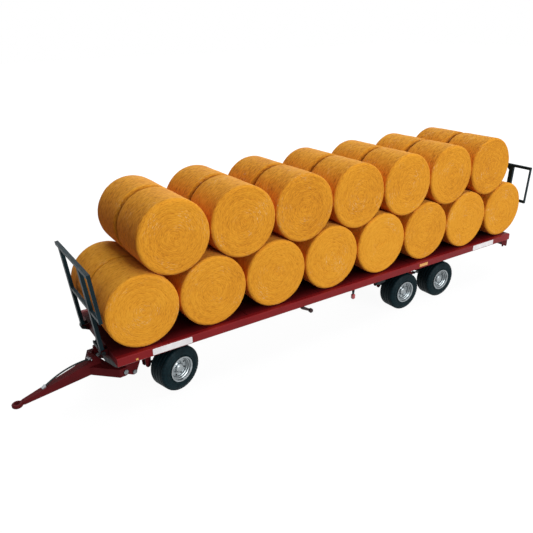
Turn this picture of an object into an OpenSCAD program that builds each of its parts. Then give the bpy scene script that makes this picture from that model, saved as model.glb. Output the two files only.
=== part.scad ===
// Three-axle flatbed trailer with a steered front dolly, at about 1:32, carrying two rows of round bales.
// Millimetres. +X points forward to the tow eye, +Y to the left and +Z up. The tyres stand on z = 0, and the
// origin is under the middle of the whole model. The dolly is stored steered a little to the left.

/* [Load] */
// Diameter of one round bale
bale_d = 49.6; // [46:0.1:52]
// Length of one round bale
bale_l = 37.2; // [34:0.1:38]
// Rounding of a bale's edges
bale_round = 1.6; // [0.8:0.1:2.4]
// Depth of the rolled rings in a bale's flat faces
ring_depth = 0.3; // [0.1:0.05:0.6]
// Number of rolled rings in a bale's flat face
ring_n = 7; // [3:1:10]
// Gap between neighbouring bales of one row
bale_gap = 0.2; // [0.15:0.05:0.6]
// Gap between the left and the right bales
middle_gap = 0.3; // [0.2:0.1:1]
// Gap under each row of bales
row_gap = 0.3; // [0.3:0.05:0.6]
// How far the load reaches past the front end of the deck
front_overhang = 3.3; // [1:0.1:6]
// How far the load reaches past the rear end of the deck
rear_overhang = 13.3; // [4:0.1:18]

/* [Deck] */
// Width of the deck over its side rails
deck_w = 80; // [78:0.5:90]
// Height of the deck's top above the ground
deck_h = 41.6; // [41.4:0.1:45]
// Height of the side rails
rail_h = 5.9; // [5:0.1:7]
// Wall of the side rails
rail_t = 1; // [0.8:0.1:1.6]
// Width of the side rails' flanges
rail_flange = 3.6; // [2.6:0.1:5]
// Thickness of the deck plate
floor_t = 1.2; // [0.8:0.1:1.5]
// Depth of the seams in the deck plate
seam_depth = 0.3; // [0.1:0.05:0.5]
// Thickness of the end beams along the deck
end_beam_t = 2.4; // [1.6:0.1:4]

/* [Chassis] */
// Distance between the two chassis beams, middle to middle
beam_track = 25; // [22:0.5:28]
// Width of a chassis beam's flanges
beam_w = 4; // [3:0.1:5]
// Height of a chassis beam
beam_h = 5.4; // [4.6:0.1:5.8]
// Wall of a chassis beam
beam_t = 0.8; // [0.6:0.1:1.2]
// Height of the cross members
cross_h = 2.6; // [2:0.1:2.8]
// Width of a cross member
cross_w = 2.4; // [1.6:0.1:4]
// Number of cross members
cross_n = 10; // [6:1:14]

/* [Wheels] */
// Diameter of the tyres
tyre_d = 32; // [30:0.1:32.4]
// Width of the tyres
tyre_w = 16; // [14:0.1:16.4]
// Distance between the left and the right wheels, middle to middle
track = 58.4; // [58:0.1:62]
// Diameter of the rim where the tyre sits
rim_d = 17; // [15:0.1:18]
// Height of the rim's flange above the tyre seat
rim_lip = 0.5; // [0.3:0.05:0.8]
// Wall of the rim
rim_t = 0.7; // [0.5:0.05:1]
// How deep the wheel disc lies behind the tyre's outer face
disc_depth = 5.2; // [3:0.1:7]
// Number of wheel nuts and of hand holes
nut_n = 8; // [5:1:10]
// Diameter of the wheel spindles
spindle_d = 2.6; // [2:0.1:3.2]
// Radial running clearance of every pivot and spindle
run_gap = 0.05; // [0.02:0.01:0.09]

/* [Running gear] */
// Distance from the deck's front end back to the kingpin
kingpin_back = 34.2; // [32:0.1:40]
// Distance from the deck's rear end forward to the last axle
last_axle = 86.6; // [70:0.1:110]
// Distance between the two rear axles
tandem_pitch = 43.9; // [42:0.1:48]
// Diameter of the axle tubes
axle_d = 3.2; // [2.8:0.1:3.8]
// Distance from a tyre's inner face in to the middle of the spring
spring_inset = 3.7; // [3.4:0.1:4]
// Half length of a leaf spring, eye to axle
spring_half = 14.5; // [12:0.1:15]
// Width of the spring leaves
leaf_w = 2.4; // [1.8:0.1:2.8]
// Thickness of one spring leaf
leaf_t = 0.5; // [0.4:0.05:0.6]
// Rise of the spring's ends above its middle
spring_rise = 0.9; // [0.5:0.1:1.4]
// Diameter of the brake drums
drum_d = 9; // [7:0.1:11]

/* [Dolly] */
// Angle that the dolly is steered to the left as stored
steer = 15; // [-20:1:20]
// Outer diameter of the turntable
ring_d = 34; // [30:0.5:36]
// Width of the turntable's ring
ring_w = 4.5; // [3:0.1:6]
// Thickness of each turntable plate
ring_t = 0.8; // [0.6:0.05:0.9]
// Diameter of the kingpin
kingpin_d = 4.4; // [3.6:0.1:5]
// Height of the dolly's side members
member_h = 5; // [4:0.1:5.4]
// Width of the dolly's side members
member_w = 3; // [2.4:0.1:3.2]

/* [Drawbar] */
// Distance from the kingpin forward to the drawbar's pivot
pivot_x = 32.2; // [30:0.1:34]
// Distance from the dolly's side members down to the drawbar's pivot
pivot_drop = 3.05; // [2.6:0.05:4]
// Width over the two legs of the drawbar
legs_w = 38; // [37:0.1:39]
// Thickness of a drawbar leg
leg_t = 2.7; // [2.2:0.1:2.7]
// Diameter of the drawbar's pivot pins
pivot_d = 2; // [1.6:0.1:2.4]
// Distance from the kingpin to the middle of the tow eye
eye_x = 95.9; // [85:0.1:110]
// Height of the tow eye above the ground
eye_z = 23.5; // [22.7:0.1:24.3]
// Outer diameter of the tow eye
eye_d = 6.4; // [5.6:0.1:7.4]
// Bore of the tow eye
eye_bore_d = 3.4; // [2.6:0.1:3.8]
// Thickness of the tow eye
eye_t = 2.4; // [1.8:0.1:3]
// Length of the straight beam in front of the legs
bar_l = 45.3; // [40:0.1:46]
// Height of the beam where the legs leave it
bar_h = 8.7; // [8:0.1:9]
// Height of the beam at the tow eye
nose_h = 2.3; // [2:0.1:3]
// Width of the beam where the legs leave it
bar_w = 6.6; // [6:0.1:7.4]
// Width of the beam at the tow eye
nose_w = 3.2; // [2.4:0.1:4.4]
// How far the air hose bows up over the drawbar
hose_bow = 2.3; // [1:0.1:2.4]
// Diameter of the air hose on the drawbar
hose_d = 1.1; // [0.8:0.05:1.6]

/* [Ladders] */
// Height of the front ladder's top above the deck
front_ladder_h = 59; // [54:0.5:66]
// Height of the rear ladder's top above the deck
rear_ladder_h = 60; // [54:0.5:66]
// Height of the middle rail above the deck
mid_rail_h = 29; // [24:0.5:36]
// Gap between the front ladder and the load
front_ladder_gap = 1.6; // [0.6:0.1:3]
// Gap between the rear ladder and the load
rear_ladder_gap = 0.7; // [0.5:0.1:3]
// Distance from the deck's front end to the front ladder's pin
front_pin_out = 3.4; // [3:0.1:5]
// Distance from the load's rear end in to the rear ladder's pin
rear_pin_in = 0.2; // [0.1:0.1:1]
// Distance between the two uprights of a ladder
upright_track = 41; // [36:0.5:43]
// Thickness of an upright along the trailer
upright_t = 2.4; // [1.8:0.1:2.6]
// Width of an upright across the trailer
upright_w = 4; // [2.6:0.1:4]
// Distance from the middle to the post at the left end of a ladder
post_y = 40; // [32:0.5:40]
// Distance from the middle to the bare right end of a ladder's rails
bare_y = 29; // [24:0.5:38]
// Thickness of the thin end post
post_t = 0.9; // [0.6:0.1:1.6]
// Height of the ladder's rails
ladder_rail_h = 2.4; // [1.8:0.1:3]
// Diameter of the ladder pins
ladder_pin_d = 1.6; // [1.2:0.1:1.8]

/* [Fittings] */
// Distance from the deck's front end back to the brake crank
crank_back = 143; // [120:1:160]
// Length of the brake crank's arm
crank_l = 7.2; // [5:0.1:8]
// Distance from the deck's front end back to the side marker lamps
marker_back = 191.4; // [175:1:200]
// Distance from the deck's front end back to the large amber reflector
reflector_back = 262.3; // [250:0.1:275]
// Distance from the deck's front end back to the small amber reflector
small_reflector_back = 11.7; // [9:0.1:20]
// Distance from the deck's front end back to the rope hooks
hook_back = 217; // [205:1:225]
// Length of the large amber reflector
reflector_l = 9.6; // [6:0.1:14]
// Height of the large amber reflector
reflector_h = 2.5; // [1.5:0.1:3.5]
// Depth of the light bar under the deck's rear end
light_bar_h = 6.6; // [5:0.1:9]

/* [Hidden] */
$fn = 64;
side_gap = 0.3;
lower_n = 8;
upper_n = lower_n - 1;
pitch = bale_d + bale_gap;
load_l = lower_n * pitch - bale_gap;
deck_l = load_l - front_overhang - rear_overhang;
rear_pin_out = rear_overhang - rear_pin_in;

// The foot of a ladder is round about its pin, a little below the deck's top
foot_r = 1.9;
pin_drop = 2.3;
bale_r = bale_d / 2;
front_lean = atan((front_overhang + front_ladder_gap + upright_t / 2 - front_pin_out) / (bale_r + pin_drop));
rear_lean = atan((rear_ladder_gap + upright_t / 2 + rear_pin_in) / (bale_r + pin_drop));

// The model's ends along X, which place the origin under its middle
front_reach = eye_x * cos(steer) - kingpin_back + eye_d / 2;
rear_reach = rear_pin_out + (rear_ladder_h + pin_drop) * tan(rear_lean) + upright_t / 2 / cos(rear_lean);
deck_front = (front_reach + deck_l + rear_reach) / 2 - front_reach;
deck_rear = deck_front - deck_l;
kingpin_x = deck_front - kingpin_back;
axle_z = tyre_d / 2;
axle_x = [kingpin_x, deck_rear + last_axle + tandem_pitch, deck_rear + last_axle];

cross_top = deck_h - floor_t;
beam_top = cross_top - cross_h;
beam_bottom = beam_top - beam_h;
ring_top = beam_bottom - ring_t - run_gap;
member_top = ring_top - ring_t;
member_bottom = member_top - member_h;

// Springs lie on pads over the axles, and hang by their eyes between two cheeks
spring_y = track / 2 - tyre_w / 2 - spring_inset;
member_y = spring_y - leaf_w / 2 - 1.6 - member_w / 2;
pad_top = axle_z + axle_d / 2;
leaf_n = 3;
main_leaf_z = pad_top + (leaf_n - 0.5) * leaf_t;
eye_rise_z = main_leaf_z + spring_rise;
arc_r = (spring_half * spring_half + spring_rise * spring_rise) / (2 * spring_rise);
arc_angle = asin(spring_half / arc_r);
spring_eye_r = 1.1;
spring_pin_r = 0.5;
cheek_t = 0.8;
cheek_r = 1.9;
rocker_half = tandem_pitch / 2 - spring_half;

leg_y = legs_w / 2;
ear_y = leg_y - leg_t - side_gap;
ear_t = 2;
ear_r = 2.4;
nose_x = eye_x - eye_d / 2 - 0.4;
apex_x = nose_x - bar_l;
bar_back = apex_x - 7;
pivot_z = member_bottom - pivot_drop;
bar_bottom = pivot_z - 1.1;
nose_bottom = eye_z - nose_h / 2;
bar_top = bar_bottom + bar_h;
nose_top = nose_bottom + nose_h;
stop_pin = [pivot_x - 8.4, pivot_z - 5.1];

// The hose leaves a fitting on the drawbar's bracket and bows over to a saddle on the beam
function bar_top_at(x) = bar_top + (x - apex_x) / (nose_x - apex_x) * (nose_top - bar_top);
hose_from = [apex_x - 0.1, bar_top + 1.1];
saddle_x = apex_x + 30.4;
hose_to = [saddle_x, bar_top_at(saddle_x) + hose_d / 2 + 0.1];
hose_chord = norm(hose_to - hose_from);
hose_r = (hose_chord * hose_chord / 4 + hose_bow * hose_bow) / (2 * hose_bow);
hose_dir = atan2(hose_to[1] - hose_from[1], hose_to[0] - hose_from[0]);
hose_centre = (hose_from + hose_to) / 2 - (hose_r - hose_bow) * [-sin(hose_dir), cos(hose_dir)];

front_pin_x = deck_front + front_pin_out;
rear_pin_x = deck_rear - rear_pin_out;
pin_z = deck_h - pin_drop;
upright_y = upright_track / 2;
lug_t = 0.9;
lug_r = ladder_pin_d / 2 + 0.65;
lug_y = upright_w / 2 + side_gap;
rail_bottom = deck_h - rail_h;
crank_pos = [deck_front - crank_back, deck_w / 2 - 2.6, rail_bottom - 2];

// Helpers: a profile drawn as (x, z) and extruded across the trailer, and one drawn as (y, z) along it
module across(y0, y1) {
    translate([0, y1, 0]) rotate([90, 0, 0]) linear_extrude(y1 - y0) children();
}
module along(x0, x1) {
    translate([x0, 0, 0]) rotate([90, 0, 90]) linear_extrude(x1 - x0) children();
}
module rod_y(r, y0, y1) {
    translate([0, y1, 0]) rotate([90, 0, 0]) cylinder(r = r, h = y1 - y0);
}
module box(x0, x1, y0, y1, z0, z1) {
    translate([x0, y0, z0]) cube([x1 - x0, y1 - y0, z1 - z0]);
}
module both_sides() {
    children();
    mirror([0, 1, 0]) children();
}
module at_dolly() {
    translate([kingpin_x, 0, 0]) rotate([0, 0, steer]) children();
}

// A flat link with round ends: circles a and b joined by their outer tangents
module link(a, ra, b, rb) {
    dist = norm(b - a);
    dir = atan2(b[1] - a[1], b[0] - a[0]);
    side = acos((ra - rb) / dist);
    translate(a) circle(ra);
    translate(b) circle(rb);
    polygon([
        a + ra * [cos(dir + side), sin(dir + side)],
        a + ra * [cos(dir - side), sin(dir - side)],
        b + rb * [cos(dir - side), sin(dir - side)],
        b + rb * [cos(dir + side), sin(dir + side)]]);
}

// Deck
seam_n = 11;
module deck_plate() {
    inner = deck_w / 2 - rail_flange;
    color("#6B0F14") difference() {
        box(deck_rear + end_beam_t, deck_front - end_beam_t, -inner, inner, cross_top, deck_h);
        for (i = [1:seam_n])
            translate([deck_rear + deck_l * i / (seam_n + 1), 0, deck_h])
                cube([0.5, deck_w, 2 * seam_depth], center = true);
    }
}

module rail_profile() {
    w = deck_w / 2;
    inner = w - rail_flange;
    edge = 0.5;
    polygon([[w, rail_bottom + edge], [w, deck_h - edge], [w - edge, deck_h], [inner, deck_h],
        [inner, deck_h - rail_t], [w - rail_t, deck_h - rail_t], [w - rail_t, rail_bottom + rail_t],
        [inner, rail_bottom + rail_t], [inner, rail_bottom], [w - edge, rail_bottom]]);
}
module side_rail() {
    color("#9A1F22") along(deck_rear, deck_front) rail_profile();
}
module side_rail_left() { side_rail(); }
module side_rail_right() { mirror([0, 1, 0]) side_rail(); }

// End beams carry pairs of lugs, with the ladder's foot pinned between them
module lug_pair(reach, root) {
    bore = [reach, pin_z];
    for (s = [-1, 1])
        across(upright_y + s * (lug_y + lug_t / 2) - lug_t / 2, upright_y + s * (lug_y + lug_t / 2) + lug_t / 2)
            difference() {
                union() {
                    translate(bore) circle(lug_r);
                    polygon([[root, rail_bottom + 0.4], [reach, pin_z - lug_r], [reach, pin_z + lug_r],
                        [root, deck_h - 0.3]]);
                }
                translate(bore) circle(ladder_pin_d / 2 + run_gap);
            }
}
module end_beam() {
    inner = deck_w / 2 - rail_flange;
    web = deck_w / 2 - rail_t;
    box(0, end_beam_t, -inner, inner, rail_bottom, deck_h);
    both_sides() box(0, end_beam_t, inner - 0.1, web, rail_bottom + rail_t, deck_h - rail_t);
}
module front_beam() {
    color("#8E1B20") {
        translate([deck_front - end_beam_t, 0, 0]) end_beam();
        both_sides() lug_pair(front_pin_x, deck_front - 0.1);
        along(deck_front - 0.1, deck_front + 1) coupling_plate();
    }
}
// Plate under the front beam, for the couplings of the air and light lines
plate_y = [-1.5, 10.5];
plate_drop = 3.4;
module coupling_plate() {
    top = rail_bottom + 2.4;
    low = rail_bottom - plate_drop;
    polygon([[plate_y[0], top], [plate_y[0], rail_bottom], [plate_y[0] + 1.5, low], [plate_y[1] - 1.5, low],
        [plate_y[1], rail_bottom], [plate_y[1], top]]);
}
module rear_beam() {
    tie = 1.4;
    tie_x = rear_pin_x + foot_r + side_gap;
    color("#8E1B20") {
        translate([deck_rear, 0, 0]) end_beam();
        both_sides() {
            lug_pair(rear_pin_x, deck_rear + 0.1);
            box(tie_x, tie_x + tie, upright_y - lug_y - 0.1, upright_y + lug_y + 0.1,
                pin_z - lug_r + 0.4, pin_z + 0.9);
        }
    }
}
module ladder_pin() {
    reach = lug_y + lug_t + 0.1;
    rod_y(ladder_pin_d / 2, upright_y - reach, upright_y + reach);
    rod_y(ladder_pin_d / 2 + 0.5, upright_y + reach, upright_y + reach + 0.7);
    rod_y(ladder_pin_d / 2 + 0.4, upright_y - reach - 0.5, upright_y - reach);
}
module ladder_pins() {
    color("#B8BCC0") for (x = [front_pin_x, rear_pin_x])
        translate([x, 0, pin_z]) both_sides() ladder_pin();
}

// Ladders: two uprights, two rails and one thin post at the left end; drawn upright, then leant out
module ladder(height, pin_x, lean) {
    tall = (height + pin_drop) / cos(lean);
    mid = (mid_rail_h + pin_drop) / cos(lean);
    rail_y0 = -bare_y;
    half = upright_t / 2;
    translate([pin_x, 0, pin_z]) rotate([0, lean, 0]) difference() {
        union() {
            for (s = [-1, 1]) {
                y0 = s * upright_y - upright_w / 2;
                box(-half, half, y0, y0 + upright_w, 0, tall - ladder_rail_h / 2);
                rod_foot(s * upright_y);
            }
            box(-half, half, rail_y0, post_y, tall - ladder_rail_h, tall);
            box(-half * 0.8, half * 0.8, -upright_y - upright_w / 2, post_y, mid - ladder_rail_h, mid);
            box(-half * 0.95, half * 0.95, post_y - post_t, post_y, mid - ladder_rail_h, tall);
            for (s = [-1, 1]) brace(s, tall);
        }
        rod_y(ladder_pin_d / 2 + run_gap, -deck_w, deck_w);
    }
}
module rod_foot(y) {
    rod_y(foot_r, y - upright_w / 2, y + upright_w / 2);
}
// Small triangular plate in the corner of an upright and the top rail
module brace(s, tall) {
    leg = 4;
    root = 0.3;
    y = s * (upright_y - upright_w / 2);
    z = tall - ladder_rail_h;
    along(-0.5, 0.5) polygon([[y + s * root, z - leg], [y + s * root, z + root], [y - s * leg, z + root],
        [y - s * leg, z - 0.3], [y, z - leg]]);
}
module front_ladder() {
    color("#1C2A2C") ladder(front_ladder_h, front_pin_x, front_lean);
}
module rear_ladder() {
    color("#1C2A2C") ladder(rear_ladder_h, rear_pin_x, -rear_lean);
}

// Chassis
module cross_members() {
    reach = deck_w / 2 - rail_flange;
    first = deck_rear + end_beam_t + cross_w;
    step = (deck_l - 2 * end_beam_t - 3 * cross_w) / (cross_n - 1);
    color("#5A0D12") for (i = [0:cross_n - 1])
        box(first + i * step, first + i * step + cross_w, -reach, reach, beam_top, cross_top);
}
module beam_profile() {
    w = beam_w / 2;
    t = beam_t / 2;
    polygon([[-w, 0], [w, 0], [w, beam_t], [t, beam_t], [t, beam_h - beam_t], [w, beam_h - beam_t], [w, beam_h],
        [-w, beam_h], [-w, beam_h - beam_t], [-t, beam_h - beam_t], [-t, beam_t], [-w, beam_t]]);
}
module chassis_beams() {
    color("#5A0D12") both_sides() translate([0, beam_track / 2, beam_bottom])
        along(deck_rear + end_beam_t, deck_front - end_beam_t) beam_profile();
}

// Turntable: an upper plate with the kingpin, and a lower plate that turns under it
module ring_plate(bore_r) {
    arm = 6;
    difference() {
        union() {
            difference() {
                cylinder(d = ring_d, h = ring_t);
                translate([0, 0, -1]) cylinder(d = ring_d - 2 * ring_w, h = ring_t + 2);
            }
            box(-arm, arm, 1 - ring_d / 2, ring_d / 2 - 1, 0, ring_t);
        }
        if (bore_r > 0) translate([0, 0, -1]) cylinder(r = bore_r, h = ring_t + 2);
    }
}
boss_h = 2.8;
nut_h = 1.6;
module turntable_upper() {
    color("#5A0D12") translate([kingpin_x, 0, beam_bottom - ring_t]) {
        ring_plate(0);
        translate([0, 0, -ring_t - boss_h - nut_h - 0.3])
            cylinder(d = kingpin_d, h = ring_t + boss_h + nut_h + 0.3 + ring_t / 2);
    }
}
module kingpin_nut() {
    color("#8D9296") translate([kingpin_x, 0, member_top - boss_h - nut_h - 0.1]) difference() {
        cylinder(d = kingpin_d * 1.7, h = nut_h, $fn = 6);
        translate([0, 0, -1]) cylinder(d = kingpin_d + 0.04, h = nut_h + 2);
    }
}
module turntable_lower() {
    color("#7A171B") at_dolly() {
        translate([0, 0, member_top]) ring_plate(kingpin_d / 2 + run_gap);
        translate([0, 0, member_top - boss_h]) difference() {
            cylinder(d = kingpin_d + 3.2, h = boss_h);
            translate([0, 0, -1]) cylinder(d = kingpin_d + 2 * run_gap, h = boss_h + 2);
        }
    }
}

// Leaf spring of three leaves about its middle, with an eye at each end of the top leaf
module leaf_spring(x) {
    centre_z = main_leaf_z + arc_r;
    translate([x, spring_y, 0]) difference() {
        union() {
            for (i = [0:leaf_n - 1])
                translate([0, 0, centre_z]) rotate([90, 0, 0]) {
                    a = arc_angle * (1 - 0.26 * i);
                    rotate([0, 0, -90 - a]) rotate_extrude(angle = 2 * a)
                        translate([arc_r + (i - 0.5) * leaf_t, -leaf_w / 2]) square([leaf_t, leaf_w]);
                }
            for (s = [-1, 1]) translate([s * spring_half, 0, eye_rise_z])
                rod_y(spring_eye_r, -leaf_w / 2, leaf_w / 2);
        }
        for (s = [-1, 1]) translate([s * spring_half, 0, eye_rise_z])
            rod_y(spring_pin_r + run_gap, -leaf_w, leaf_w);
    }
}
// Two cheeks with a pin between them, hanging from top_z at x; the inner cheek meets what carries it
module hanger(x, top_z, wide, inner_y) {
    y_in = spring_y - leaf_w / 2 - side_gap - cheek_t;
    y_out = spring_y + leaf_w / 2 + side_gap;
    for (y = [y_in, y_out])
        across(y, y + cheek_t) {
            translate([x, eye_rise_z]) circle(cheek_r);
            polygon([[x - cheek_r, eye_rise_z], [x + cheek_r, eye_rise_z], [x + wide, top_z],
                [x + wide, top_z + 1], [x - wide, top_z + 1], [x - wide, top_z]]);
        }
    translate([x, 0, eye_rise_z]) rod_y(spring_pin_r, y_in, y_out + cheek_t);
    box(x - wide, x + wide, inner_y, y_out + cheek_t, top_z, top_z + 1);
}
// One end of an axle's clamp: a plate over the spring, one under the axle and four bolts
bolt_r = 0.4;
clamp_t = 0.6;
module axle_clamp(x) {
    top = main_leaf_z + leaf_t / 2 + 0.05;
    bottom = axle_z - axle_d / 2 - clamp_t;
    reach_x = axle_d / 2 + bolt_r + 0.5;
    reach_y = leaf_w / 2 + bolt_r + 0.1;
    translate([x, spring_y, 0]) {
        for (z = [bottom, top])
            box(-reach_x - 0.3, reach_x + 0.3, -reach_y - 0.3, reach_y + 0.3, z, z + clamp_t);
        for (sx = [-1, 1])
            for (sy = [-1, 1])
                translate([sx * (reach_x - 0.2), sy * reach_y, bottom])
                    cylinder(r = bolt_r, h = top - bottom + clamp_t + 0.3);
    }
}
// Axle tube with spring pads, brake drums and the spindles that carry the wheels
hub_in = 5;
spindle_end = track / 2 - tyre_w / 2 + tyre_w - disc_depth + 1.4;
module axle(x) {
    drum_y = track / 2 - tyre_w / 2 - 0.7;
    pad = axle_d / 2 + 0.1;
    translate([x, 0, axle_z]) {
        rod_y(axle_d / 2, -drum_y - 0.1, drum_y + 0.1);
        rod_y(spindle_d / 2, -spindle_end, spindle_end);
        both_sides() {
            rod_y(drum_d / 2, drum_y, track / 2 - tyre_w / 2 + hub_in - side_gap);
            box(-pad, pad, spring_y - leaf_w / 2, spring_y + leaf_w / 2, 0, pad_top - axle_z);
        }
    }
}

mid_x = (axle_x[1] + axle_x[2]) / 2;
module spring_hangers() {
    beam_edge = beam_track / 2 - beam_w / 2;
    color("#5A0D12") both_sides() {
        for (x = [axle_x[1] + spring_half, axle_x[2] - spring_half])
            hanger(x, beam_bottom - 1, cheek_r + 0.8, beam_edge);
        hanger(mid_x, beam_bottom - 1, cheek_r + 1.4, beam_edge);
    }
}
module tandem_springs() {
    color("#20262A") both_sides() {
        leaf_spring(axle_x[1]);
        leaf_spring(axle_x[2]);
    }
}
// Rockers share the load between the two rear axles; their forked ends take the inner spring eyes
module rockers() {
    y0 = spring_y - leaf_w / 2;
    fork_t = 0.2;
    color("#7A171B") both_sides() difference() {
        across(y0, y0 + leaf_w) {
            link([mid_x, eye_rise_z], 1.7, [mid_x + rocker_half - spring_eye_r - 0.9, eye_rise_z], 0.7);
            link([mid_x, eye_rise_z], 1.7, [mid_x - rocker_half + spring_eye_r + 0.9, eye_rise_z], 0.7);
        }
        translate([mid_x, 0, eye_rise_z]) rod_y(spring_pin_r + run_gap, 0, deck_w);
    }
}
module middle_axle() { color("#20262A") axle(axle_x[1]); }
module rear_axle() { color("#20262A") axle(axle_x[2]); }
module tandem_clamps() {
    color("#7C8286") both_sides() {
        axle_clamp(axle_x[1]);
        axle_clamp(axle_x[2]);
    }
}

// Dolly, drawn straight about the kingpin
module dolly_frame() {
    back = -spring_half - 4;
    front = pivot_x + 0.6;
    y0 = member_y - member_w / 2;
    y1 = member_y + member_w / 2;
    color("#7A171B") at_dolly() {
        both_sides() {
            box(back, front, y0, y1, member_bottom, member_top);
            for (x = [-spring_half, spring_half])
                hanger(x, member_top - 1, cheek_r + 0.8, y0 + 0.5);
            drawbar_ear(y1);
        }
        for (x = [back, -8.6, 6.2, front - 2.4])
            box(x, x + 2.4, -y0 - 0.5, y0 + 0.5, member_bottom, member_top);
    }
}
// Ear plate that carries the drawbar's pivot pin, with a stop pin behind and below it
module drawbar_ear(seat_y) {
    low = member_bottom + 1;
    back = stop_pin[0] - 6.2;
    front = pivot_x + 1.4;
    difference() {
        union() {
            across(ear_y - ear_t, ear_y) {
                link([pivot_x, pivot_z], ear_r, stop_pin, ear_r);
                polygon([[back, low + 3], [back, low + 1], [back + 1, pivot_z],
                    [stop_pin[0] - 1.8, stop_pin[1] - 1.4], [pivot_x + 2, pivot_z + 1.2], [front, low + 3]]);
            }
            box(back, front, seat_y - 0.5, ear_y, low + 0.6, low + 3);
        }
        translate([pivot_x, 0, pivot_z]) rod_y(pivot_d / 2 + run_gap, 0, deck_w);
        translate([stop_pin[0], 0, stop_pin[1]]) rod_y(pivot_d / 2 - 0.1, 0, deck_w);
    }
}
module drawbar_pins() {
    in_y = ear_y - ear_t - 0.1;
    color("#C4C8CB") at_dolly() both_sides() {
        translate([pivot_x, 0, pivot_z]) {
            rod_y(pivot_d / 2, in_y, leg_y + 0.15);
            rod_y(pivot_d / 2 + 0.6, leg_y + 0.15, leg_y + 0.9);
            rod_y(pivot_d / 2 + 0.5, in_y - 0.7, in_y);
        }
        translate([stop_pin[0], 0, stop_pin[1]]) {
            rod_y(pivot_d / 2 - 0.15, in_y, ear_y);
            rod_y(pivot_d / 2 + 0.5, ear_y, ear_y + 1.2);
            rod_y(pivot_d / 2 + 0.4, in_y - 0.6, in_y);
        }
    }
}
module dolly_springs() {
    color("#20262A") at_dolly() both_sides() leaf_spring(0);
}
module front_axle() { color("#20262A") at_dolly() axle(0); }
module dolly_clamps() { color("#7C8286") at_dolly() both_sides() axle_clamp(0); }

// Drawbar: a beam that tapers in height and width, on two splayed legs
module bar_side() {
    polygon([[bar_back, bar_bottom], [apex_x, bar_bottom], [nose_x, nose_bottom], [nose_x, nose_top],
        [apex_x, bar_top], [bar_back, bar_top]]);
}
module bar_plan() {
    w = bar_w / 2;
    n = nose_w / 2;
    polygon([[bar_back, -w], [apex_x, -w], [nose_x, -n], [nose_x, n], [apex_x, w], [bar_back, w]]);
}
module leg_side() {
    link([pivot_x, pivot_z], 3, [apex_x, bar_bottom + 2.9], 2.9);
}
module leg_plan() {
    straight = pivot_x + 4.4;
    tail = pivot_x - 3.2;
    w = bar_w / 2;
    polygon([[tail, leg_y - leg_t], [tail, leg_y], [straight, leg_y], [apex_x + 1.5, w - 0.2],
        [apex_x + 1.5, 0], [apex_x - 5, 0], [straight - 1.4, leg_y - leg_t]]);
}
// Web plate between the legs
module web_plan() {
    edge = leg_y - 1;
    tip = bar_w / 2 - 0.3;
    polygon([[pivot_x + 3.4, -edge], [apex_x, -tip], [apex_x, tip], [pivot_x + 3.4, edge]]);
}
module drawbar() {
    color("#7E1E22") at_dolly() difference() {
        union() {
            translate([0, 0, pivot_z + 1.8]) linear_extrude(0.8) web_plan();
            intersection() {
                across(-bar_w, bar_w) bar_side();
                translate([0, 0, bar_bottom - 1]) linear_extrude(bar_h + 2) bar_plan();
            }
            both_sides() intersection() {
                across(-0.1, leg_y + 1) leg_side();
                translate([0, 0, bar_bottom - 5]) linear_extrude(bar_h + 6) leg_plan();
            }
            across(-bar_w / 2, bar_w / 2) hose_bracket();
        }
        translate([pivot_x, 0, pivot_z]) rod_y(pivot_d / 2 + run_gap, -deck_w, deck_w);
    }
}
bracket_h = 2.8;
module hose_bracket() {
    face = hose_from[0] - 1.6;
    polygon([[face - 5, bar_top - 0.1], [face, bar_top - 0.1], [face, bar_top + bracket_h],
        [face - 3.2, bar_top + bracket_h]]);
}
// The eye is a round-edged ring on a short shank that seats on the beam's nose
module tow_eye() {
    r = eye_d / 2;
    bore = eye_bore_d / 2;
    h = eye_t / 2;
    e = 0.5;
    shank = nose_h / 2 - 0.1;
    color("#8A2428") at_dolly() translate([eye_x, 0, eye_z]) difference() {
        union() {
            rotate_extrude()
                polygon([[bore / 2, -h], [r - e, -h], [r, e - h], [r, h - e], [r - e, h], [bore / 2, h]]);
            box(nose_x - eye_x, -r * 0.6, -nose_w / 2 + 0.3, nose_w / 2 - 0.3, -shank, shank);
        }
        translate([0, 0, -eye_t]) cylinder(d = eye_bore_d, h = 2 * eye_t);
    }
}
module air_hose() {
    color("#14191C") at_dolly() intersection() {
        translate([hose_centre[0], 0, hose_centre[1]]) rotate([90, 0, 0]) rotate([0, 0, 30])
            rotate_extrude(angle = 120, $fn = 128) translate([hose_r, 0]) circle(d = hose_d, $fn = 24);
        box(hose_from[0], hose_to[0], -5, 5, 0, deck_h);
    }
}
module hose_fittings() {
    face = hose_from[0] - 1.6;
    w = hose_d / 2 + 0.5;
    color("#A9AEB3") at_dolly() {
        translate([face, 0, hose_from[1]]) rotate([0, 90, 0]) cylinder(r = w, h = 1.6);
        for (s = [-1, 1])
            translate([face, s * 2.2, hose_from[1]]) rotate([0, 90, 0]) cylinder(r = 0.6, h = 0.8);
        saddle_z = bar_top_at(saddle_x);
        front_z = bar_top_at(saddle_x + 2.4);
        across(-w, w) polygon([[saddle_x, saddle_z], [saddle_x + 2.4, front_z],
            [saddle_x + 2.4, front_z + 0.5], [saddle_x, saddle_z + hose_d + 0.5]]);
    }
}

// Three coupling heads on the plate under the front beam, each with its locking collar
module air_couplings() {
    face = deck_front + 1;
    z = rail_bottom + 0.4;
    color("#14191C") for (i = [0:2])
        translate([face, plate_y[0] + 2.6 + i * 3.4, z]) rotate([0, 90, 0]) rotate_extrude()
            polygon([[0, 0], [1.5, 0], [1.5, 0.6], [1.1, 0.8], [1.1, 1.5], [1.4, 1.7], [1.4, 2.3], [0, 2.3]]);
}

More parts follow.
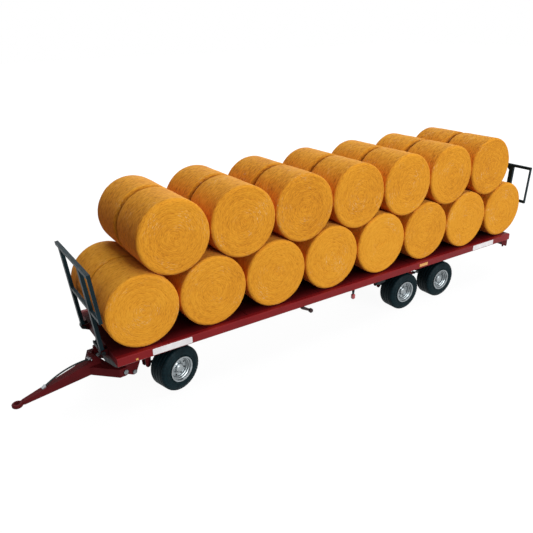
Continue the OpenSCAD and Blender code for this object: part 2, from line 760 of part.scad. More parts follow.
// Wheels: w runs from the inner face of the tyre, 0, to its outer face, tyre_w
function arc(cx, cy, r, a0, a1, n) =
    [for (i = [0:n]) [cx + r * cos(a0 + (a1 - a0) * i / n), cy + r * sin(a0 + (a1 - a0) * i / n)]];
module tyre() {
    r = tyre_d / 2;
    seat = rim_d / 2 + 0.05;
    bead = rim_d / 2 + rim_lip + 0.1;
    shoulder = 2.2;
    bulge = 1.6;
    groove = 0.5;
    rotate_extrude($fn = 96) difference() {
        polygon(concat(
            [[seat, 1.2], [bead, 1.2], [bead + 0.5, 0.6]],
            arc(r - shoulder - 0.2, bulge, bulge, -90, -60, 2),
            arc(r - shoulder, shoulder, shoulder, -50, 0, 5),
            arc(r - shoulder, tyre_w - shoulder, shoulder, 0, 50, 5),
            arc(r - shoulder - 0.2, tyre_w - bulge, bulge, 60, 90, 2),
            [[bead + 0.5, tyre_w - 0.6], [bead, tyre_w - 1.2], [seat, tyre_w - 1.2]]));
        for (i = [-1:1]) translate([r - groove, tyre_w / 2 + i * 3.4 - 0.35]) square([1, 0.7]);
    }
}
module rim() {
    seat = rim_d / 2;
    inside = seat - rim_t;
    lip = seat + rim_lip;
    disc = tyre_w - disc_depth;
    hub_r = spindle_d / 2 + 1.7;
    cap = disc + 2.6;
    bore_end = spindle_end - (track / 2 - tyre_w / 2) + 0.3;
    bolt_ring = hub_r + 0.7;
    hole_ring = inside - 2.2;
    difference() {
        union() {
            rotate_extrude($fn = 96) polygon([[inside, 0.3], [lip, 0.3], [lip, 1.1], [seat, 1.1],
                [seat, tyre_w - 1.1], [lip, tyre_w - 1.1], [lip, tyre_w - 0.3], [inside + 0.3, tyre_w - 0.3],
                [inside, tyre_w - 0.8], [inside, tyre_w - 1.9], [inside - 0.5, tyre_w - 2.2],
                [inside - 0.6, tyre_w - 3.4], [inside - 1, tyre_w - 3.7], [inside - 1.3, disc + 0.6],
                [hub_r + 1.2, disc + 0.2], [hub_r, disc + 0.9],
                [hub_r, cap], [hub_r - 0.7, cap + 0.6], [0, cap + 0.6], [0, hub_in], [hub_r, hub_in],
                [hub_r, disc - 0.6], [inside, disc - 0.6]]);
            for (i = [0:nut_n - 1]) rotate([0, 0, i * 360 / nut_n])
                translate([bolt_ring, 0, disc]) cylinder(r = 0.4, h = 1.2, $fn = 6);
        }
        translate([0, 0, -1]) cylinder(r = spindle_d / 2 + run_gap, h = bore_end + 1);
        for (i = [0:nut_n - 1]) rotate([0, 0, (i + 0.5) * 360 / nut_n])
            translate([hole_ring, 0, disc - 2]) cylinder(r = 0.7, h = 5);
    }
}
// Puts a wheel part on an axle: side is 1 for left and -1 for right
module on_axle(i, side) {
    place = i == 0 ? [0, 0, 0] : [axle_x[i], 0, 0];
    module wheel() {
        translate(place) mirror([0, side < 0 ? 1 : 0, 0])
            translate([0, track / 2 - tyre_w / 2, axle_z]) rotate([-90, 0, 0]) children();
    }
    if (i == 0) at_dolly() wheel() children();
    else wheel() children();
}
module tyre_on(i, side) { color("#1A2226") on_axle(i, side) tyre(); }
module rim_on(i, side) { color("#A9AEB3") on_axle(i, side) rim(); }

// Bales: a rolled cylinder with rounded edges and shallow rings in both flat faces
function face_ring(i, w, dir) = let (
        step = (bale_r - bale_round - 2) / ring_n,
        r = 2 + i * step)
    [[r, w], [r + step * 0.5, w - dir * ring_depth]];
module bale() {
    r = bale_r;
    e = bale_round;
    ends = [for (i = [0:ring_n - 1]) each face_ring(i, bale_l, 1)];
    starts = [for (i = [ring_n - 1:-1:0]) each [face_ring(i, 0, -1)[1], face_ring(i, 0, -1)[0]]];
    rotate([-90, 0, 0]) rotate_extrude($fn = 96) polygon(concat(
        [[0, 0], [0, bale_l]], ends,
        arc(r - e, bale_l - e, e, 90, 0, 4),
        arc(r - e, e, e, 0, -90, 4),
        starts));
}
lower_z = deck_h + row_gap + bale_r;
upper_z = lower_z + sqrt(pow(bale_d + row_gap, 2) - pow(pitch / 2, 2));
first_bale = deck_front + front_overhang - bale_r;
module bale_pair(x, z) {
    color("#DB9A2E") both_sides() translate([x, middle_gap / 2, z]) bale();
}
module lower_bales(i) { bale_pair(first_bale - (i - 1) * pitch, lower_z); }
module upper_bales(i) { bale_pair(first_bale - (i - 0.5) * pitch, upper_z); }

// Fittings along the side rails and at the rear
module crank_bracket() {
    color("#5A0D12") translate([crank_pos[0], 0, 0]) difference() {
        union() {
            across(crank_pos[1] - 1.2, crank_pos[1]) link([0, crank_pos[2]], 1.5, [0.6, rail_bottom], 1.5);
            box(-2.2, 3, crank_pos[1] - 3, crank_pos[1], rail_bottom - 0.5, rail_bottom);
        }
        translate([0, 0, crank_pos[2]]) rod_y(0.8 + run_gap, 0, deck_w);
        box(-5, 5, 0, deck_w, rail_bottom, deck_h);
    }
}
module brake_crank() {
    tip = [-crank_l * cos(30), -crank_l * sin(30)];
    y = crank_pos[1] + side_gap;
    color("#3A2A2E") translate([crank_pos[0], 0, crank_pos[2]]) {
        rod_y(0.8, crank_pos[1] - 2.2, y + 0.1);
        rod_y(1.2, crank_pos[1] - 2.2, crank_pos[1] - 1.2 - side_gap);
        across(y, y + 0.9) link([0, 0], 1.2, tip, 0.8);
        translate([tip[0], y, tip[1]]) rotate([-90, 0, 0]) rotate_extrude()
            polygon([[0, 0], [1.5, 0], [1.7, 0.4], [0.9, 1.1], [1.7, 1.9], [1.4, 2.3], [0, 2.3]]);
    }
}
module marker_stems() {
    color("#14191C") both_sides() translate([deck_front - marker_back, deck_w / 2 - 1.9, rail_bottom - 4])
        cylinder(r1 = 0.8, r2 = 1.2, h = 4);
}
lamp_w = 10;
module red_lenses() {
    color("#B0272C") {
        both_sides() translate([deck_front - marker_back, deck_w / 2 - 1.9, rail_bottom - 8.2]) {
            cylinder(r1 = 1.1, r2 = 1.7, h = 0.8);
            translate([0, 0, 0.8]) cylinder(r = 1.7, h = 2.6);
            translate([0, 0, 3.4]) cylinder(r1 = 1.7, r2 = 1, h = 0.8);
        }
        both_sides() box(deck_rear - 0.8, deck_rear, deck_w / 2 - 3 - lamp_w, deck_w / 2 - 3,
            rail_bottom - light_bar_h + 1.4, rail_bottom - 1);
    }
}
module amber_reflectors() {
    w = deck_w / 2;
    t = 0.3;
    big_x = deck_front - reflector_back;
    small_x = deck_front - small_reflector_back;
    color("#D9932B") both_sides() {
        box(big_x - reflector_l, big_x, w, w + t, deck_h - 1.7 - reflector_h, deck_h - 1.7);
        box(small_x - 1.6, small_x, w, w + t, deck_h - 4.6, deck_h - 3.4);
    }
}
module rope_hooks() {
    y = deck_w / 2 - 2;
    x = deck_front - hook_back;
    color("#14191C") both_sides() across(y - 0.9, y + 0.9) {
        link([x, rail_bottom - 1.6], 1.4, [x - 7, rail_bottom - 1.3], 0.8);
        translate([x - 7.4, rail_bottom - 1.3]) square([1.6, 1.3]);
    }
}
module light_bar() {
    y = deck_w / 2 - 1.5;
    hang = deck_w / 2 - rail_flange;
    color("#7A171B") {
        box(deck_rear, deck_rear + 1.6, -y, y, rail_bottom - light_bar_h, rail_bottom);
        both_sides() {
            across(hang, y) polygon([[deck_rear + 1.5, rail_bottom], [deck_rear + 9, rail_bottom],
                [deck_rear + 7, rail_bottom - 3.6], [deck_rear + 1.5, rail_bottom - light_bar_h]]);
            translate([deck_rear + 4.5, y - 1.2, rail_bottom - 6.6]) cylinder(r = 0.8, h = 3.4);
        }
    }
}

deck_plate();
side_rail_left();
side_rail_right();
front_beam();
rear_beam();
cross_members();
chassis_beams();
turntable_upper();
kingpin_nut();
spring_hangers();
tandem_springs();
rockers();
middle_axle();
rear_axle();
tandem_clamps();
crank_bracket();
marker_stems();
red_lenses();
amber_reflectors();
rope_hooks();
light_bar();
ladder_pins();
air_couplings();
turntable_lower();
dolly_frame();
dolly_springs();
front_axle();
dolly_clamps();
drawbar_pins();
drawbar();
tow_eye();
air_hose();
hose_fittings();
front_ladder();
rear_ladder();
brake_crank();
tyre_on(0, 1);  // tyre_front_left
tyre_on(0, -1);  // tyre_front_right
tyre_on(1, 1);  // tyre_middle_left
tyre_on(1, -1);  // tyre_middle_right
tyre_on(2, 1);  // tyre_rear_left
tyre_on(2, -1);  // tyre_rear_right
rim_on(0, 1);  // rim_front_left
rim_on(0, -1);  // rim_front_right
rim_on(1, 1);  // rim_middle_left
rim_on(1, -1);  // rim_middle_right
rim_on(2, 1);  // rim_rear_left
rim_on(2, -1);  // rim_rear_right
lower_bales(1);  // lower_bales_1
lower_bales(2);  // lower_bales_2
lower_bales(3);  // lower_bales_3
lower_bales(4);  // lower_bales_4
lower_bales(5);  // lower_bales_5
lower_bales(6);  // lower_bales_6
lower_bales(7);  // lower_bales_7
lower_bales(8);  // lower_bales_8
union() { upper_bales(1); upper_bales(2); }  // upper_bales_1_2
union() { upper_bales(3); upper_bales(4); }  // upper_bales_3_4
union() { upper_bales(5); upper_bales(6); }  // upper_bales_5_6
upper_bales(7);  // upper_bales_7
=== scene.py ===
"""A 1:32 flatbed bale trailer with its load of round bales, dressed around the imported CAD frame.

Lengths are in metres, in the CAD part's own frame: +X is forward, +Y is left and +Z is up."""
from collections import namedtuple

import bpy
import numpy as np
from mathutils import Matrix, Vector


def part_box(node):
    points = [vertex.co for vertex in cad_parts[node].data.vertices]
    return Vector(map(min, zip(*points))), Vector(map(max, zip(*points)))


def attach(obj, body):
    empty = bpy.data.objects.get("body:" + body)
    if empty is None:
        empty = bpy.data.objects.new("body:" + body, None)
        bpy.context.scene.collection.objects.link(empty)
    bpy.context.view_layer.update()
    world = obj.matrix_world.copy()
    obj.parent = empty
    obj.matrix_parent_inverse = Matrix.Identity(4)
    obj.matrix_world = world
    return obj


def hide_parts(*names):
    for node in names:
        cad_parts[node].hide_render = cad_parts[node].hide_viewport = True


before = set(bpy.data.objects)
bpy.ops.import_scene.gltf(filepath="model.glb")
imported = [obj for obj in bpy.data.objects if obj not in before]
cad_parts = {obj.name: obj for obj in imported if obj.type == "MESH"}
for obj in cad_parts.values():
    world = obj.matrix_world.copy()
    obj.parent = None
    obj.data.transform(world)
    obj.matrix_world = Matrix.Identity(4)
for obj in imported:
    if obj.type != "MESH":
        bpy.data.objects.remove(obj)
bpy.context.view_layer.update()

# Camera: a studio view from the trailer's left front corner, a little above the load. Its place and turn
# were worked out from the bales, the wheels and the deck's edges in the photograph, and its lens in the
# same fit.
CAMERA_AT = Vector((0.253149, 0.34567, 0.23087))
CAMERA_RIGHT = Vector((-0.8392, 0.5434, -0.0226))
CAMERA_UP = Vector((-0.2311, -0.3187, 0.9192))
CAMERA_BACK = Vector((0.4923, 0.7766, 0.3931))
SENSOR_WIDTH_MM, LENS_MM = 36, 38.866
camera_data = bpy.data.cameras.new("studio_camera")
camera_data.sensor_width = SENSOR_WIDTH_MM
camera_data.lens = LENS_MM
camera_data.clip_start = 0.01
camera = bpy.data.objects.new("studio_camera", camera_data)
camera_turn = Matrix((CAMERA_RIGHT, CAMERA_UP, CAMERA_BACK)).transposed().to_4x4()
camera.matrix_world = Matrix.Translation(CAMERA_AT) @ camera_turn
scene = bpy.context.scene
scene.collection.objects.link(camera)
scene.camera = camera
scene.view_settings.view_transform = "Standard"


# Studio: a matt white paper floor under a white sky, as in a cut-out product picture. What the camera
# sees of the floor is nearly its own white, so only a faint shadow shows, and the lamps keep to a plain
# level.
FLOOR_HALF = 4.0
FLOOR_PLAIN, FLOOR_WHITE = 0.2, 0.5   # from here to here, outwards, the paper's own glow grows to full white
SKY_LIGHT = 0.17                      # strength of the sky as a lamp; the camera sees it at full white


def linear(hex_colour):
    """An sRGB hex colour as linear RGBA: the sRGB curve is undone channel by channel."""
    channels = [int(hex_colour[i:i + 2], 16) / 255 for i in (1, 3, 5)]
    return [c / 12.92 if c <= 0.04045 else ((c + 0.055) / 1.055) ** 2.4 for c in channels] + [1.0]


def node(tree, kind, settings=None, **links):
    """Adds one shader node. settings are its properties. links are its sockets, each given a value or
    another socket: _0 is the first socket, and a name stands for the socket of that name."""
    new = tree.nodes.new(kind)
    for name, value in (settings or {}).items():
        setattr(new, name, value)
    for name, value in links.items():
        key = int(name[1:]) if name[1:].isdigit() else name.replace("_", " ")
        socket = new.inputs[key]
        if isinstance(value, bpy.types.NodeSocket):
            tree.links.new(value, socket)
        else:
            socket.default_value = value
    return new


def seen_directly(tree):
    """1 where the camera, a mirror or a clear plastic sees this surface, and 0 where it only bounces
    light."""
    path = node(tree, "ShaderNodeLightPath").outputs
    mirrored = node(tree, "ShaderNodeMath", {"operation": "MAXIMUM"}, _0=path["Is Glossy Ray"],
                    _1=path["Is Transmission Ray"])
    return node(tree, "ShaderNodeMath", {"operation": "MAXIMUM"}, _0=path["Is Camera Ray"],
                _1=mirrored.outputs[0]).outputs[0]


def studio_floor_material():
    """Matt paper: grey to the bounced light, and a small lit share plus a white glow where it is seen
    directly."""
    material = bpy.data.materials.new("white_paper_backdrop")
    material.use_nodes = True
    tree = material.node_tree
    tree.nodes.clear()
    seen = seen_directly(tree)
    where = node(tree, "ShaderNodeTexCoord").outputs["Object"]
    away = node(tree, "ShaderNodeVectorMath", {"operation": "LENGTH"}, _0=where)
    white = node(tree, "ShaderNodeMapRange", _0=away.outputs["Value"], _1=FLOOR_PLAIN, _2=FLOOR_WHITE,
                 _3=0.95, _4=1.05)
    bounce = node(tree, "ShaderNodeBsdfDiffuse", Color=linear("#7A7A7A"))
    lit = node(tree, "ShaderNodeBsdfDiffuse", Color=linear("#505050"))
    glow = node(tree, "ShaderNodeEmission", Color=(1, 1, 1, 1), Strength=white.outputs[0])
    both = node(tree, "ShaderNodeAddShader", _0=lit.outputs[0], _1=glow.outputs[0])
    mix = node(tree, "ShaderNodeMixShader", Fac=seen, _1=bounce.outputs[0], _2=both.outputs[0])
    node(tree, "ShaderNodeOutputMaterial", Surface=mix.outputs[0])
    return material


floor_mesh = bpy.data.meshes.new("studio_floor")
floor_mesh.from_pydata([(-FLOOR_HALF, -FLOOR_HALF, 0), (FLOOR_HALF, -FLOOR_HALF, 0),
                        (FLOOR_HALF, FLOOR_HALF, 0), (-FLOOR_HALF, FLOOR_HALF, 0)], [], [(0, 1, 2, 3)])
floor = bpy.data.objects.new("studio_floor", floor_mesh)
floor_mesh.materials.append(studio_floor_material())
scene.collection.objects.link(floor)

world = bpy.data.worlds.new("studio_sky")
scene.world = world
world.use_nodes = True
sky = world.node_tree
sky.nodes.clear()
sky_soft = node(sky, "ShaderNodeBackground", Color=linear("#EEF2F8"), Strength=SKY_LIGHT)
sky_white = node(sky, "ShaderNodeBackground", Color=(1, 1, 1, 1), Strength=1.0)
sky_mix = node(sky, "ShaderNodeMixShader", Fac=seen_directly(sky), _1=sky_soft.outputs[0],
               _2=sky_white.outputs[0])
node(sky, "ShaderNodeOutputWorld", Surface=sky_mix.outputs[0])

LAMP_AIM = Vector((0, 0, 0.06))   # about the middle of the load


def softbox(name, place, size, watts):
    """A square area lamp of this size at place, turned to LAMP_AIM."""
    data = bpy.data.lights.new(name, "AREA")
    data.size = size
    data.energy = watts
    lamp = bpy.data.objects.new(name, data)
    lamp.location = place
    lamp.rotation_euler = (LAMP_AIM - Vector(place)).to_track_quat("-Z", "Y").to_euler()
    scene.collection.objects.link(lamp)


softbox("key_softbox", (-0.4, 1.75, 0.55), 1.3, 33)
softbox("overhead_softbox", (-0.1, 0.0, 1.3), 0.8, 7.5)
softbox("front_softbox", (1.6, 0.3, 0.45), 0.4, 1.4)
softbox("far_softbox", (-0.85, -1.35, 0.65), 0.9, 14)


# Side rails: the two long edges of the deck, die-cast metal under one sprayed coat of bright wine-red
# enamel. The film is satin with a faint orange peel, and dust from handling lies in soft clouds, so
# highlights break up.
CLOUDS_PER_M = 55.0    # dust clouds, one each 18 mm
SMEARS_PER_M = 210.0   # finger smears in the gloss, one each 5 mm


def paint_over(names, material):
    """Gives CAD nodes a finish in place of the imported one."""
    for name in names:
        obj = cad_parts[name]
        obj.data.materials.clear()
        obj.data.materials.append(material)


def surface(name, base, roughness, **sockets):
    """A material with one Principled shader; returns it with its tree and shader for the pattern nodes."""
    material = bpy.data.materials.new(name)
    material.use_nodes = True
    tree = material.node_tree
    shader = tree.nodes["Principled BSDF"]
    shader.inputs["Base Color"].default_value = linear(base)
    shader.inputs["Roughness"].default_value = roughness
    for key, value in sockets.items():
        shader.inputs[key.replace("_", " ")].default_value = value
    return material, tree, shader


def ramp(tree, factor, *stops):
    """A colour ramp on factor, with stops given as (place, hex colour)."""
    new = node(tree, "ShaderNodeValToRGB", Fac=factor)
    elements = new.color_ramp.elements
    while len(elements) < len(stops):
        elements.new(0.5)
    for element, (place, colour) in zip(elements, stops):
        element.position = place
        element.color = linear(colour)
    return new.outputs[0]


def spread(tree, factor, low, high):
    """Maps a noise's usual range, 0.3 to 0.7, to low and high, which may be given either way round."""
    return node(tree, "ShaderNodeMapRange", _0=factor, _1=0.3, _2=0.7, _3=low, _4=high).outputs[0]


def pattern_scale(cell_mm):
    """The scale, in cells per metre, of a pattern whose cells are cell_mm across."""
    return 1000 / cell_mm


def roughen(tree, shader, height, strength, depth):
    """A bump on the shader's normal from height, up to depth metres."""
    bump = node(tree, "ShaderNodeBump", Strength=strength, Distance=depth, Height=height)
    tree.links.new(bump.outputs[0], shader.inputs["Normal"])


def enamel(name, lit, deep, roughness, gloss=0.2, tint="#FFFFFF", peel_mm=0.9):
    """Sprayed enamel: two shades in soft clouds, smears that change its roughness, and orange peel
    peel_mm wide. gloss is the specular level and tint its colour. Real peel is finer, too fine to show in
    the render."""
    material, tree, shader = surface(name, lit, roughness, Specular_IOR_Level=gloss, Specular_Tint=linear(tint))
    where = node(tree, "ShaderNodeTexCoord").outputs["Object"]
    clouds = node(tree, "ShaderNodeTexNoise", Vector=where, Scale=CLOUDS_PER_M, Detail=4.0).outputs["Fac"]
    tree.links.new(ramp(tree, clouds, (0.3, deep), (0.7, lit)), shader.inputs["Base Color"])
    smears = node(tree, "ShaderNodeTexNoise", Vector=where, Scale=SMEARS_PER_M, Detail=3.0).outputs["Fac"]
    tree.links.new(spread(tree, smears, roughness - 0.06, roughness + 0.08), shader.inputs["Roughness"])
    peel = node(tree, "ShaderNodeTexNoise", Vector=where, Scale=pattern_scale(peel_mm), Detail=2.0)
    roughen(tree, shader, peel.outputs["Fac"], 0.16, 0.0001)
    return material


rail_enamel = enamel("bright_wine_red_enamel", "#80161A", "#721216", 0.38, 0.18)
paint_over(["side_rail_left", "side_rail_right"], rail_enamel)


# Deck and front beam: one flat plate and the beam across its front end, in a flatter wine red than the
# rails. Painted shade of the load darkens the middle of the deck, under and between the bales, and the
# enamel keeps its colour along both edges.
MM = 0.001
SHADED_WITHIN = 27 * MM   # from the deck's middle line: full painted shade up to here
SHADED_UP_TO = 36 * MM    # and no painted shade at all beyond here


def darken_deck_middle_shade(material, shade_colour):
    """Multiplies a paint by a painted shade colour near the deck's middle line, for the load's shade. The
    share is 1 where the distance aside is below the first limit above, and falls in a straight line to 0 at the
    second."""
    tree = material.node_tree
    base = tree.nodes["Principled BSDF"].inputs["Base Color"]
    where = node(tree, "ShaderNodeSeparateXYZ", Vector=node(tree, "ShaderNodeTexCoord").outputs["Object"])
    aside = node(tree, "ShaderNodeMath", {"operation": "ABSOLUTE"}, _0=where.outputs["Y"])
    share = node(tree, "ShaderNodeMapRange", _0=aside.outputs[0], _1=SHADED_WITHIN, _2=SHADED_UP_TO,
                 _3=1.0, _4=0.0)
    darker = node(tree, "ShaderNodeMix", {"data_type": "RGBA", "blend_type": "MULTIPLY"}, _0=share.outputs[0],
                  _6=base.links[0].from_socket, _7=linear(shade_colour))
    tree.links.new(darker.outputs[2], base)


deck_enamel = enamel("dark_wine_red_deck_enamel", "#741A1E", "#601519", 0.58, 0.05)
# painted shade of the load on the middle of the deck
darken_deck_middle_shade(deck_enamel, "#806C78")
paint_over(["deck_plate", "front_beam"], deck_enamel)


# Chassis: the beams and cross members under the deck, the upper turntable plate, the springs' hangers and
# the rear beam. On a full-size trailer they are welded from plate and channel. Their red is darker than
# that of the rails.
chassis_enamel = enamel("dark_red_chassis_enamel", "#540C11", "#42080D", 0.46, 0.07)
paint_over(["cross_members", "chassis_beams", "turntable_upper", "spring_hangers", "crank_bracket", "rear_beam"],
           chassis_enamel)


# Dolly and drawbar: the steered frame under the turntable and the A-shaped drawbar with its tow eye,
# welded from plate and tube in full size. The light bar and the rockers between the rear springs have the
# same enamel.
drawbar_enamel = enamel("drawbar_red_enamel", "#561216", "#460E11", 0.46, 0.07)
paint_over(["turntable_lower", "dolly_frame", "drawbar", "tow_eye", "light_bar", "rockers"], drawbar_enamel)


# End ladders: thin square tube, welded, each on pins between two lugs so that it folds outwards. The
# black enamel has a cool, slightly blue sheen where the tubes catch the light.
ladder_enamel = enamel("black_ladder_enamel", "#13242A", "#0D1B20", 0.5, 0.16, "#BED6E0")
paint_over(["front_ladder", "rear_ladder"], ladder_enamel)


# Axles and springs: forged axles with brake drums, and leaf springs, all dipped in one plain black
# enamel. The ladders' pins have it too.
axle_enamel = enamel("black_axle_enamel", "#141B1E", "#0E1315", 0.46, 0.1)
paint_over(["tandem_springs", "dolly_springs", "middle_axle", "rear_axle", "front_axle", "ladder_pins"],
           axle_enamel)


# Brake crank: a small cranked handle under the left rail, cast in one piece. Its enamel is a worn red
# brown.
crank_enamel = enamel("brown_crank_enamel", "#3E2A2E", "#2E2022", 0.38)
paint_over(["brake_crank"], crank_enamel)


# Pins, clamps and fittings: turned or pressed steel with zinc plate, which is a cool, bright grey with a
# small spangle. The drawbar's pins are handled more, so their plate is duller.
SPANGLE_MM = 0.625   # real spangle on a model is finer, too fine to show


def zinc(name, bright, dull):
    """Zinc plate: cells SPANGLE_MM across, bright in the middle and duller and rougher towards their
    edges."""
    material, tree, shader = surface(name, bright, 0.3, Metallic=0.75)
    where = node(tree, "ShaderNodeTexCoord").outputs["Object"]
    cells = node(tree, "ShaderNodeTexVoronoi", Vector=where, Scale=pattern_scale(SPANGLE_MM)).outputs["Distance"]
    tree.links.new(ramp(tree, cells, (0.1, bright), (0.8, dull)), shader.inputs["Base Color"])
    tree.links.new(spread(tree, cells, 0.24, 0.38), shader.inputs["Roughness"])
    return material


paint_over(["kingpin_nut", "tandem_clamps", "dolly_clamps", "hose_fittings"],
           zinc("bright_zinc_plated_steel", "#C2C6C9", "#9EA3A7"))
paint_over(["drawbar_pins"], zinc("worn_zinc_plated_steel", "#8E9396", "#6B7073"))


# Rims: spun metal wheels with a dished disc, hand holes and nuts, sprayed with silver lacquer. The
# lacquer's metal flakes make it sparkle a little, and its gloss is uneven.
UNEVEN_PER_M = 260.0   # clouds in the lacquer, one each 4 mm
FLAKES_PER_M = 5200.0  # metal flakes, drawn 0.2 mm wide: real ones are too fine to show


def rim_lacquer():
    """Silver lacquer: fine flakes that tip the surface a little, and soft clouds in its colour and
    gloss."""
    material, tree, shader = surface("silver_rim_lacquer", "#9BA1A4", 0.3, Metallic=0.85)
    where = node(tree, "ShaderNodeTexCoord").outputs["Object"]
    clouds = node(tree, "ShaderNodeTexNoise", Vector=where, Scale=UNEVEN_PER_M, Detail=3.0).outputs["Fac"]
    tree.links.new(ramp(tree, clouds, (0.3, "#848B8E"), (0.7, "#A3AAAD")), shader.inputs["Base Color"])
    tree.links.new(spread(tree, clouds, 0.34, 0.24), shader.inputs["Roughness"])
    flakes = node(tree, "ShaderNodeTexVoronoi", Vector=where, Scale=FLAKES_PER_M)
    roughen(tree, shader, flakes.outputs["Distance"], 0.1, 0.00003)
    return material


paint_over([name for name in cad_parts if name.startswith("rim_")], rim_lacquer())


# Air hose: black rubber hose that bows over the drawbar between its two fittings. It is drawn through a
# die, which leaves a fine grain and a soft sheen.
def moulded(name, base, light, roughness, grain_mm):
    """Moulded rubber or plastic: a fine grain of grain_mm, lighter and glossier on its tops."""
    material, tree, shader = surface(name, base, roughness, Specular_IOR_Level=0.15)
    where = node(tree, "ShaderNodeTexCoord").outputs["Object"]
    grain = node(tree, "ShaderNodeTexNoise", Vector=where, Scale=pattern_scale(grain_mm),
                 Detail=3.0).outputs["Fac"]
    tree.links.new(ramp(tree, grain, (0.35, base), (0.7, light)), shader.inputs["Base Color"])
    tree.links.new(spread(tree, grain, roughness + 0.06, roughness - 0.06), shader.inputs["Roughness"])
    roughen(tree, shader, grain, 0.25, 0.00005)
    return material


paint_over(["air_hose"], moulded("black_hose_rubber", "#121719", "#1E2527", 0.42, 0.3))


# Couplings, hooks and lamp stems: small black fittings, injection moulded in nylon and pushed into the
# rails and the front beam. They have a matt, finely eroded skin.
paint_over(["marker_stems", "rope_hooks", "air_couplings"],
           moulded("black_moulded_nylon", "#121618", "#20272A", 0.5, 0.4))


# Lamps and reflectors: clear acrylic coloured through, moulded with rows of small prisms behind a
# polished skin, which breaks the colour into a fine grid of light and dark.
def acrylic(name, base, light, prism_mm):
    """Coloured clear plastic: square prisms in rows prism_mm apart under a glossy skin, light in their
    middles."""
    material, tree, shader = surface(name, base, 0.16, Coat_Weight=1.0, Coat_Roughness=0.05)
    where = node(tree, "ShaderNodeTexCoord").outputs["Object"]
    prisms = node(tree, "ShaderNodeTexVoronoi", {"distance": "CHEBYCHEV"}, Vector=where,
                  Scale=pattern_scale(prism_mm), Randomness=0.0).outputs["Distance"]
    tree.links.new(ramp(tree, prisms, (0.15, light), (0.75, base)), shader.inputs["Base Color"])
    roughen(tree, shader, prisms, 0.5, 0.0001)
    return material


paint_over(["red_lenses"], acrylic("red_lens_acrylic", "#8E161D", "#B8262C", 0.7))
paint_over(["amber_reflectors"], acrylic("amber_reflector_acrylic", "#C9801E", "#E9A63A", 0.8))


# Plates: the side rails carry two white plates each, left blank here. They are thin card under a clear
# film, with rounded corners, stuck flat on the rail.
PLATE_LENGTH = 27.8 * MM
PLATE_FROM_FRONT = (37.1 * MM, 344.0 * MM)   # from the deck's front end back to the middle of each plate
PLATE_MARGIN = 0.7 * MM                      # of rail above and below a plate
PLATE_THICK, PLATE_CORNER, PLATE_BEVEL = 0.12 * MM, 0.5 * MM, 0.08 * MM
CARD_CLOUDS_PER_M = 180.0                    # one each 6 mm
FILM_RIPPLES_PER_M = 1500.0                  # one each 0.7 mm
rail_low, rail_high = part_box("side_rail_left")


def plate_mesh(name, x_mid, z_low, z_high, side):
    """Three rings of one outline of straight edges and four quarter circles: one sunk in the rail's face,
    one at 0.6 of the thickness and one on top, drawn in by the bevel. Each end ring is closed by one flat
    face."""
    angle = np.arange(4)[:, None] * np.pi / 2 + np.linspace(0, np.pi / 2, 7)
    to_front, to_top = np.array([1, -1, -1, 1])[:, None], np.array([1, 1, -1, -1])[:, None]
    edge_z = np.where(to_top > 0, z_high, z_low)
    x = (x_mid + to_front * (PLATE_LENGTH / 2 - PLATE_CORNER) + PLATE_CORNER * np.cos(angle)).reshape(-1)
    z = (edge_z - to_top * PLATE_CORNER + PLATE_CORNER * np.sin(angle)).reshape(-1)
    out = rail_high[1] + PLATE_THICK * np.array([-1, 0.6, 1])[:, None]
    inset = PLATE_BEVEL * np.array([0, 0, 1])[:, None]
    points = np.stack([x - np.sign(x - x_mid) * inset, side * out + 0 * x,
                       z - np.sign(z - (z_low + z_high) / 2) * inset], -1).reshape(-1, 3)
    ring = np.arange(len(x))
    after, step = np.roll(ring, -1), len(x)
    bands = [np.stack([k + ring, k + after, k + step + after, k + step + ring], -1) for k in (0, step)]
    faces = np.concatenate(bands).tolist() + [ring[::-1].tolist(), (2 * step + ring).tolist()]
    if side > 0:
        faces = [face[::-1] for face in faces]
    mesh = bpy.data.meshes.new(name)
    mesh.from_pydata(points.tolist(), [], faces)
    mesh.validate()
    plate = bpy.data.objects.new(name, mesh)
    scene.collection.objects.link(plate)
    return plate


def card_white():
    """White card under film: two near whites in soft clouds, and a faint ripple in the film."""
    material, tree, shader = surface("blank_white_card", "#E6E3E4", 0.3)
    where = node(tree, "ShaderNodeTexCoord").outputs["Object"]
    clouds = node(tree, "ShaderNodeTexNoise", Vector=where, Scale=CARD_CLOUDS_PER_M, Detail=3.0).outputs["Fac"]
    tree.links.new(ramp(tree, clouds, (0.3, "#DDD8DA"), (0.7, "#EFEDED")), shader.inputs["Base Color"])
    film = node(tree, "ShaderNodeTexNoise", Vector=where, Scale=FILM_RIPPLES_PER_M, Detail=2.0)
    roughen(tree, shader, film.outputs["Fac"], 0.1, 0.00005)
    return material


card = card_white()
for place, back in zip(("front", "rear"), PLATE_FROM_FRONT):
    for side_name, side in (("left", 1), ("right", -1)):
        plate = plate_mesh(f"blank_plate_{place}_{side_name}", rail_high[0] - back,
                           rail_low[2] + PLATE_MARGIN, rail_high[2] - PLATE_MARGIN, side)
        plate.data.materials.append(card)
        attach(plate, "trailer")


